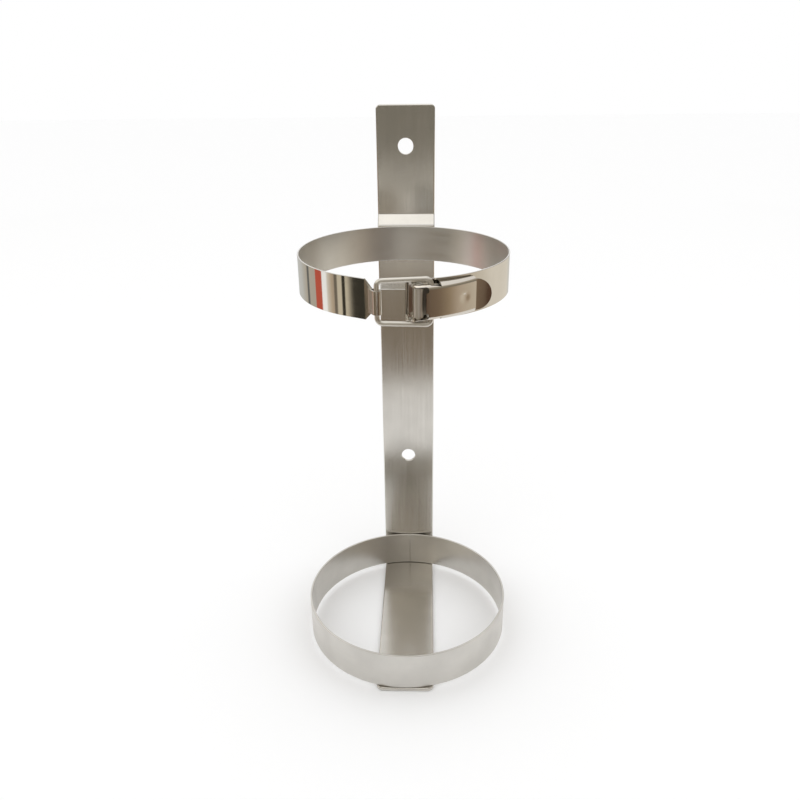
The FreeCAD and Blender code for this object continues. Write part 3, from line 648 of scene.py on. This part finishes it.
def toggle_lever():
    """Curved channel with ears, hooks, dimple and the flared finger tab."""
    face_radius = HINGE_RADIUS + LEVER_RISE
    inner_face = face_radius - LEVER_WALL
    root = HINGE_RADIUS - 2 * LEVER_RISE
    ear_angle = 2 * math.asin(LEVER_RISE / HINGE_RADIUS)
    half, inside = LEVER_HALF, LEVER_HALF - LEVER_WALL
    face_rows = 24

    def channel_line(face, side, radius):
        """Half turn of the channel's profile as (radius, height), the face split into rows."""
        line = fillet_path([Vector(p) for p in ((root, -side), (face, -side), (face, side),
                                                (root, side))], (radius,) * 2, math.radians(10))
        middle = len(line) // 2
        flat = side - radius
        rows = [Vector((face, -flat + 2 * flat * k / face_rows)) for k in range(1, face_rows)]
        return line[:middle] + rows + line[middle:]

    section = (channel_line(face_radius, half, LEVER_SHOULDER)
               + channel_line(inner_face, inside, LEVER_SHOULDER - LEVER_WALL)[::-1])
    stations = []
    for i in range(LEVER_STEPS + 1):
        angle = -ear_angle + (LEVER_ARC + ear_angle) * i / LEVER_STEPS
        station = []
        for p in section:
            radius = dished(p.x, angle, p.y, face_radius) if p.x > inner_face - MM / 10 else p.x
            station.append((radius * math.sin(angle), -radius * math.cos(angle), p.y))
        stations.append(station)
    bm = bmesh.new()
    swept(bm, stations, closed=False)
    bmesh.ops.recalc_face_normals(bm, faces=bm.faces)
    lever = new_object("lever_channel", bm, LEVER_STEEL, "lever", "toggle_lever")
    hub = -HINGE_RADIUS
    wide = 2 * LEVER_RISE
    combine(lever, cutter(circle_outline(
        HINGE_RADIUS * math.sin(LEVER_DIP), -HINGE_RADIUS * (1 - math.cos(LEVER_DIP)),
        LEVER_EDGE, 360), -2 * half, 2 * half))
    combine(lever, cutter([(-wide, hub - wide), (FACE_SETBACK, hub - wide),
                           (FACE_SETBACK, hub + wide), (-wide, hub + wide)], -inside, inside))
    for side in (-1, 1):
        relief = circle_outline(FACE_SETBACK, side * (inside - RELIEF_RADIUS), RELIEF_RADIUS)
        combine(lever, cutter(relief, -face_radius - MM, -inner_face + MM, "y"))
    nose = arc_points(Vector((0, hub)), LEVER_RISE, math.pi / 2, 3 * math.pi / 2, 24)
    reach = 3 * LEVER_RISE
    combine(lever, cutter([tuple(p) for p in nose] + [(0, hub - reach), (-reach, hub - reach),
                                                      (-reach, hub + reach), (0, hub + reach)],
                          -2 * half, 2 * half))
    combine(lever, cutter(circle_outline(0, hub, PIN_BORE), -2 * half, 2 * half))
    seat = Vector((HOOK_DISTANCE * math.cos(LEVER_DIP), hub - HOOK_DISTANCE * math.sin(LEVER_DIP)))
    right = seat.x + HOOK_TRAVEL + HOOK_RADIUS
    lip = seat.x - HOOK_RADIUS + HOOK_UNDERCUT
    throat = [tuple(p) for p in arc_points(seat, HOOK_RADIUS, -math.pi / 2, -math.pi, 10)] + [
        (seat.x - HOOK_RADIUS, seat.y + HOOK_RADIUS / 2), (lip, seat.y + HOOK_RADIUS / 2),
        (lip, hub + wide), (right, hub + wide), (right, seat.y - HOOK_RADIUS)]
    combine(lever, cutter(throat, -2 * half, 2 * half))

    tool = finger_tab(inner_face)
    tool.data.transform(Matrix.Rotation(LEVER_ARC, 4, "Z"))
    combine(lever, tool, "UNION")
    turn = HINGE_ANGLE + LEVER_DIP
    centre = HINGE + HINGE_RADIUS * Vector((-math.sin(turn), math.cos(turn), 0))
    lever.data.transform(Matrix.Translation(centre) @ Matrix.Rotation(turn, 4, "Z"))
    soften(lever, PRESSED_EDGE)


def flat_material(name, colour, strength=0.0):
    """Plain matt colour, or a plain glow where a strength is given."""
    material = bpy.data.materials.new(name)
    material.use_nodes = True
    shader = material.node_tree.nodes["Principled BSDF"]
    shader.inputs["Base Color"].default_value = (*(BLACK if strength else colour), 1)
    shader.inputs["Roughness"].default_value = 0.9
    shader.inputs["Specular IOR Level"].default_value = 0.1
    shader.inputs["Emission Color"].default_value = (*colour, 1)
    shader.inputs["Emission Strength"].default_value = strength
    return material


# The set: floor, ceiling disc, and two curved screens that stand for the room in front; the disc
# and the screens glow only in the metal's reflections, as painted reflections.
FLOOR_HALF, FLOOR_GAP, FLOOR_WHITE = 4.0, 0.2 * MM, (0.985, 0.985, 0.985)
CEILING_HEIGHT, CEILING_RADIUS = 0.95, 0.4
CEILING_TONE, CEILING_GLOW = (1, 0.99, 0.965), 1.45
SCREEN_Y, SCREEN_REACH = 0.20, math.radians(150)
NEAR_RADIUS, NEAR_TOP = 0.60, 0.06
FAR_RADIUS, FAR_TOP = 1.60, 1.30
KEY_PLACE, KEY_SIZE, KEY_POWER = Vector((-0.8, -1.2, 1.6)), 1.5, 1.6
FILL_PLACE, FILL_SIZE, FILL_POWER = Vector((1.2, -0.6, 0.9)), 1.2, 0.8

# Tones of the screens, by height in metres or by bearing in degrees, + to the right: painted
# reflections, the cards being stripes painted on the screens.
GREY_DARK, PALE, BROWN = (0.26, 0.24, 0.20), (0.90, 0.87, 0.80), (0.26, 0.21, 0.155)
DEEP_BROWN, DIM, DARK = (0.10, 0.06, 0.04), (0.20, 0.17, 0.13), (0.16, 0.16, 0.15)
CARD_BLACK, CARD_RED, CARD_WHITE = (0.045, 0.04, 0.03), (0.6, 0.12, 0.075), (1.1, 1.1, 1.08)
CREAM, TAN, SAND = (0.80, 0.74, 0.64), (0.68, 0.60, 0.46), (0.53, 0.48, 0.40)
WALL_GREY = (0.60, 0.60, 0.57)
BLACK, WHITE, FIFTH = (0, 0, 0), (1, 1, 1), (0.2, 0.2, 0.2)
BRIGHT = (1.2, 1.17, 1.1)
NEAR_BY_HEIGHT = [
    (-0.226, (0.28, 0.24, 0.18)), (-0.204, BROWN), (-0.104, BROWN), (-0.082, (0.35, 0.31, 0.25)),
    (-0.066, (0.46, 0.43, 0.38)), (-0.060, PALE), (-0.048, PALE), (-0.045, DEEP_BROWN),
    (-0.013, DEEP_BROWN), (-0.008, BRIGHT), (0.004, BRIGHT), (0.014, PALE), (0.050, GREY_DARK),
]
FAR_DIM_BY_HEIGHT = [
    (0.0, GREY_DARK), (0.30, GREY_DARK), (0.55, (0.27, 0.24, 0.19)), (0.72, (0.54, 0.49, 0.41)),
    (0.85, (0.36, 0.325, 0.265)), (1.30, (0.66, 0.63, 0.57)),
]
FAR_PALE_BY_HEIGHT = [
    (0.0, GREY_DARK), (0.30, GREY_DARK), (0.55, (0.95, 0.92, 0.86)), (0.85, (1.25, 1.22, 1.14)),
    (1.30, (1.30, 1.27, 1.18)),
]
FAR_PALE_SHARE = [(-30, WHITE), (-12, FIFTH), (12, FIFTH), (30, BLACK)]
LEFT_BY_BEARING = [
    (-118, WALL_GREY), (-97, SAND), (-95, DARK), (-91, DARK), (-89, SAND), (-75, SAND),
    (-74, CARD_RED), (-63, CARD_RED), (-62, CARD_WHITE), (-56, CARD_WHITE), (-54, CREAM),
    (-48.5, (0.57, 0.46, 0.33)), (-46, (0.5, 0.4, 0.3)), (-45.2, DIM), (-42.8, DIM), (-41.8, TAN),
    (-38, TAN), (-37.2, CARD_BLACK), (-35, CARD_BLACK), (-34.4, TAN), (-33.9, TAN),
    (-33.5, CARD_BLACK), (-30.5, CARD_BLACK), (-29.5, BROWN),
]
RIGHT_BY_BEARING = [
    (8, BROWN), (10.5, DEEP_BROWN), (17, DEEP_BROWN), (19.5, (0.19, 0.14, 0.10)),
    (25, (0.23, 0.17, 0.12)), (32, (0.37, 0.29, 0.20)), (40, (0.60, 0.51, 0.41)),
    (49, (0.66, 0.59, 0.48)), (76, CREAM), (125, CREAM), (150, WALL_GREY),
]
FRONT_SHARE = [(-12, BLACK), (-7, WHITE), (6, WHITE), (9.5, BLACK)]


def stage_object(name, bm, material, glossy_only=True):
    """Object of the set; a screen or the ceiling disc shows only in the metal's reflections, as a
    painted reflection.
    """
    mesh = bpy.data.meshes.new(name)
    bm.to_mesh(mesh)
    bm.free()
    mesh.materials.append(material)
    thing = bpy.data.objects.new(name, mesh)
    bpy.context.scene.collection.objects.link(thing)
    if glossy_only:
        thing.visible_camera = False
        thing.visible_diffuse = False
        thing.visible_shadow = False
        thing.visible_transmission = False
    return thing


def floor():
    """White paper that the foot stands just above."""
    bm = bmesh.new()
    level = STRAP_LOW.z - FLOOR_GAP
    corners = [(-FLOOR_HALF, -FLOOR_HALF), (FLOOR_HALF, -FLOOR_HALF),
               (FLOOR_HALF, FLOOR_HALF), (-FLOOR_HALF, FLOOR_HALF)]
    bm.faces.new([bm.verts.new((x, y, level)) for x, y in corners])
    stage_object("floor", bm, flat_material("floor_paper", FLOOR_WHITE), glossy_only=False)


def world():
    """White all round."""
    studio = bpy.data.worlds.new("studio")
    studio.use_nodes = True
    bpy.context.scene.world = studio
    background = studio.node_tree.nodes["Background"]
    background.inputs["Color"].default_value = (1, 1, 1, 1)
    background.inputs["Strength"].default_value = 1.0


def ceiling():
    """Bright round panel above, a glow seen only in the metal's reflections: a painted highlight,
    not a lamp.
    """
    bm = bmesh.new()
    bmesh.ops.create_circle(bm, cap_ends=True, segments=64, radius=CEILING_RADIUS,
                            matrix=Matrix.Translation((0, 0, CEILING_HEIGHT)))
    stage_object("ceiling", bm, flat_material("ceiling_glow", CEILING_TONE, CEILING_GLOW))


def glow_material(name, paint):
    """Plain glow whose tone `paint` works out from the screen's own bearing and height."""
    material = bpy.data.materials.new(name)
    material.use_nodes = True
    nodes, links = material.node_tree.nodes, material.node_tree.links
    nodes.clear()
    split = nodes.new("ShaderNodeSeparateXYZ")
    links.new(nodes.new("ShaderNodeTexCoord").outputs["Object"], split.inputs["Vector"])

    def calculate(operation, first, second=0):
        node = nodes.new("ShaderNodeMath")
        node.operation = operation
        links.new(first, node.inputs[0])
        if isinstance(second, (int, float)):
            node.inputs[1].default_value = second
        else:
            links.new(second, node.inputs[1])
        return node.outputs["Value"]

    def ramp(source, stops):
        low, high = stops[0][0], stops[-1][0]
        spread = nodes.new("ShaderNodeMapRange")
        spread.inputs["From Min"].default_value = low
        spread.inputs["From Max"].default_value = high
        links.new(source, spread.inputs["Value"])
        colours = nodes.new("ShaderNodeValToRGB")
        elements = colours.color_ramp.elements
        elements.remove(elements[-1])
        for i, (at, colour) in enumerate(stops):
            spot = (at - low) / (high - low)
            element = elements[0] if i == 0 else elements.new(spot)
            element.position = spot
            element.color = (*colour, 1)
        links.new(spread.outputs["Result"], colours.inputs["Fac"])
        return colours.outputs["Color"]

    def blend(factor, first, second):
        mix = nodes.new("ShaderNodeMix")
        mix.data_type = "RGBA"
        links.new(factor, mix.inputs["Factor"])
        links.new(first, mix.inputs["A"])
        links.new(second, mix.inputs["B"])
        return mix.outputs["Result"]

    towards_room = calculate("MULTIPLY", split.outputs["Y"], -1)
    bearing = calculate("DEGREES", calculate("ARCTAN2", split.outputs["X"], towards_room))
    glow = nodes.new("ShaderNodeEmission")
    links.new(paint(bearing, split.outputs["Z"], calculate, ramp, blend), glow.inputs["Color"])
    output = nodes.new("ShaderNodeOutputMaterial")
    links.new(glow.outputs["Emission"], output.inputs["Surface"])
    return material


def near_paint(bearing, height, calculate, ramp, blend):
    """Painted reflection: stripes to the left, warm tones to the right, steps of height straight
    ahead.
    """
    around = blend(calculate("GREATER_THAN", bearing, 0), ramp(bearing, LEFT_BY_BEARING),
                   ramp(bearing, RIGHT_BY_BEARING))
    return blend(ramp(bearing, FRONT_SHARE), around, ramp(height, NEAR_BY_HEIGHT))


def far_paint(bearing, height, calculate, ramp, blend):
    """Painted reflection: dim low down, paler higher up, the more so to the left."""
    return blend(ramp(bearing, FAR_PALE_SHARE), ramp(height, FAR_DIM_BY_HEIGHT),
                 ramp(height, FAR_PALE_BY_HEIGHT))


def screen(name, radius, top, paint):
    """Curved screen from the floor up, open at the back, whose glow is a painted reflection."""
    bm = bmesh.new()
    columns = 120
    rows = []
    for i in range(columns + 1):
        angle = SCREEN_REACH * (2 * i / columns - 1)
        x, y = radius * math.sin(angle), -radius * math.cos(angle)
        rows.append([bm.verts.new((x, y, z)) for z in (STRAP_LOW.z, top)])
    for first, second in zip(rows, rows[1:]):
        bm.faces.new((first[0], second[0], second[1], first[1]))
    stage_object(name, bm, glow_material(name + "_glow", paint)).location.y = SCREEN_Y


def lamp(name, location, size, power):
    """Soft area lamp aimed at the middle of the part; metal mirrors the screens instead."""
    data = bpy.data.lights.new(name, "AREA")
    data.size = size
    data.energy = power
    light = bpy.data.objects.new(name, data)
    light.location = location
    aim = (STRAP_LOW + STRAP_HIGH) / 2 - light.location
    light.rotation_euler = aim.to_track_quat("-Z", "Y").to_euler()
    light.visible_glossy = False
    bpy.context.scene.collection.objects.link(light)


CAMERA_PLACE = Vector((14.83, -569.92, 191.0)) * MM
CAMERA_PITCH, CAMERA_YAW, CAMERA_ROLL = 24.771, -2.123, -0.789
FRAME_WIDTH, FOCAL_PIXELS, SENSOR = 800, 797.75, 36.0
CLIP_START, CLIP_END = 0.01, 50


def camera():
    """Camera at the photograph's place and angle."""
    pitch, yaw, roll = (math.radians(a) for a in (CAMERA_PITCH, CAMERA_YAW, CAMERA_ROLL))
    look = (Matrix.Rotation(roll, 3, "Y") @ Matrix.Rotation(pitch, 3, "X")
            @ Matrix.Rotation(yaw, 3, "Z"))
    right, forward, up = look[0], look[1], look[2]
    data = bpy.data.cameras.new("camera")
    data.sensor_width = SENSOR
    data.lens = SENSOR * FOCAL_PIXELS / FRAME_WIDTH
    data.clip_start, data.clip_end = CLIP_START, CLIP_END
    eye = bpy.data.objects.new("camera", data)
    turn = Matrix((right, up, -forward)).transposed()
    eye.matrix_world = Matrix.Translation(CAMERA_PLACE) @ turn.to_4x4()
    bpy.context.scene.collection.objects.link(eye)
    bpy.context.scene.camera = eye


back_strap()
base_ring()
clamp_band()
band_eye()
hinge_leaf()
hinge_pin()
wire_bail()
toggle_lever()
floor()
world()
ceiling()
screen("near_screen", NEAR_RADIUS, NEAR_TOP, near_paint)
screen("far_screen", FAR_RADIUS, FAR_TOP, far_paint)
lamp("key_lamp", KEY_PLACE, KEY_SIZE, KEY_POWER)
lamp("fill_lamp", FILL_PLACE, FILL_SIZE, FILL_POWER)
camera()
bpy.context.scene.view_settings.view_transform = "Standard"
